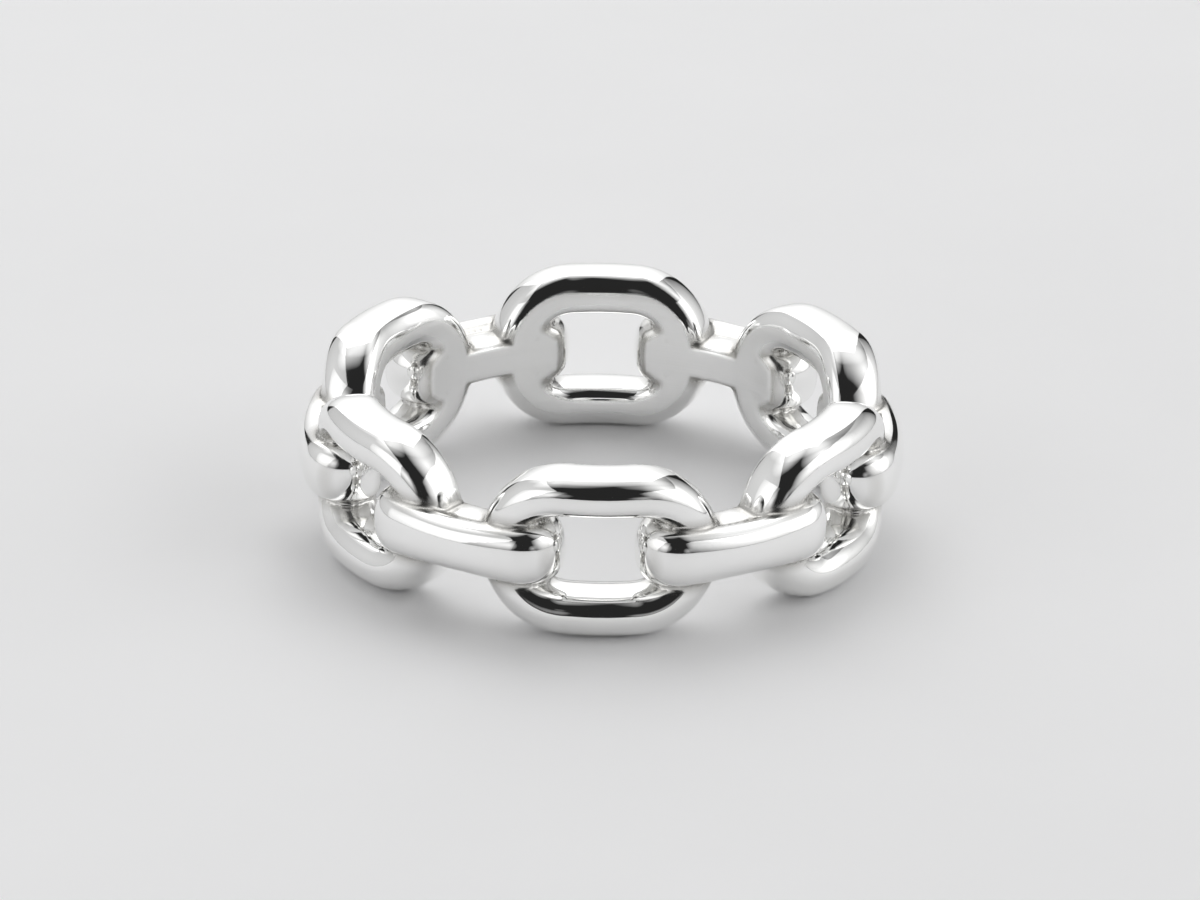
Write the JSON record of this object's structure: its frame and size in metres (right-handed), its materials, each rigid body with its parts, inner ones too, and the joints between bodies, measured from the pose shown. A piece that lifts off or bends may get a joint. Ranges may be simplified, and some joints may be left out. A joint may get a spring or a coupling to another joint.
{
  "type": "chain link ring",
  "caption": "Finger ring shaped like a closed chain: upright open links joined by flat connector links, with one smooth round finger hole.",
  "frame": {"origin": "on the axis of the finger hole, level with the surface that the ring lies on", "axes": "+Z along the axis of the finger hole, up from that surface; -Y through the middle of one face link"},
  "size_m": [0.023, 0.022, 0.0065],
  "materials": {
    "silver": "polished"
  },
  "bodies": {
    "root": {"ring": "silver"}
  },
  "joints": []
}
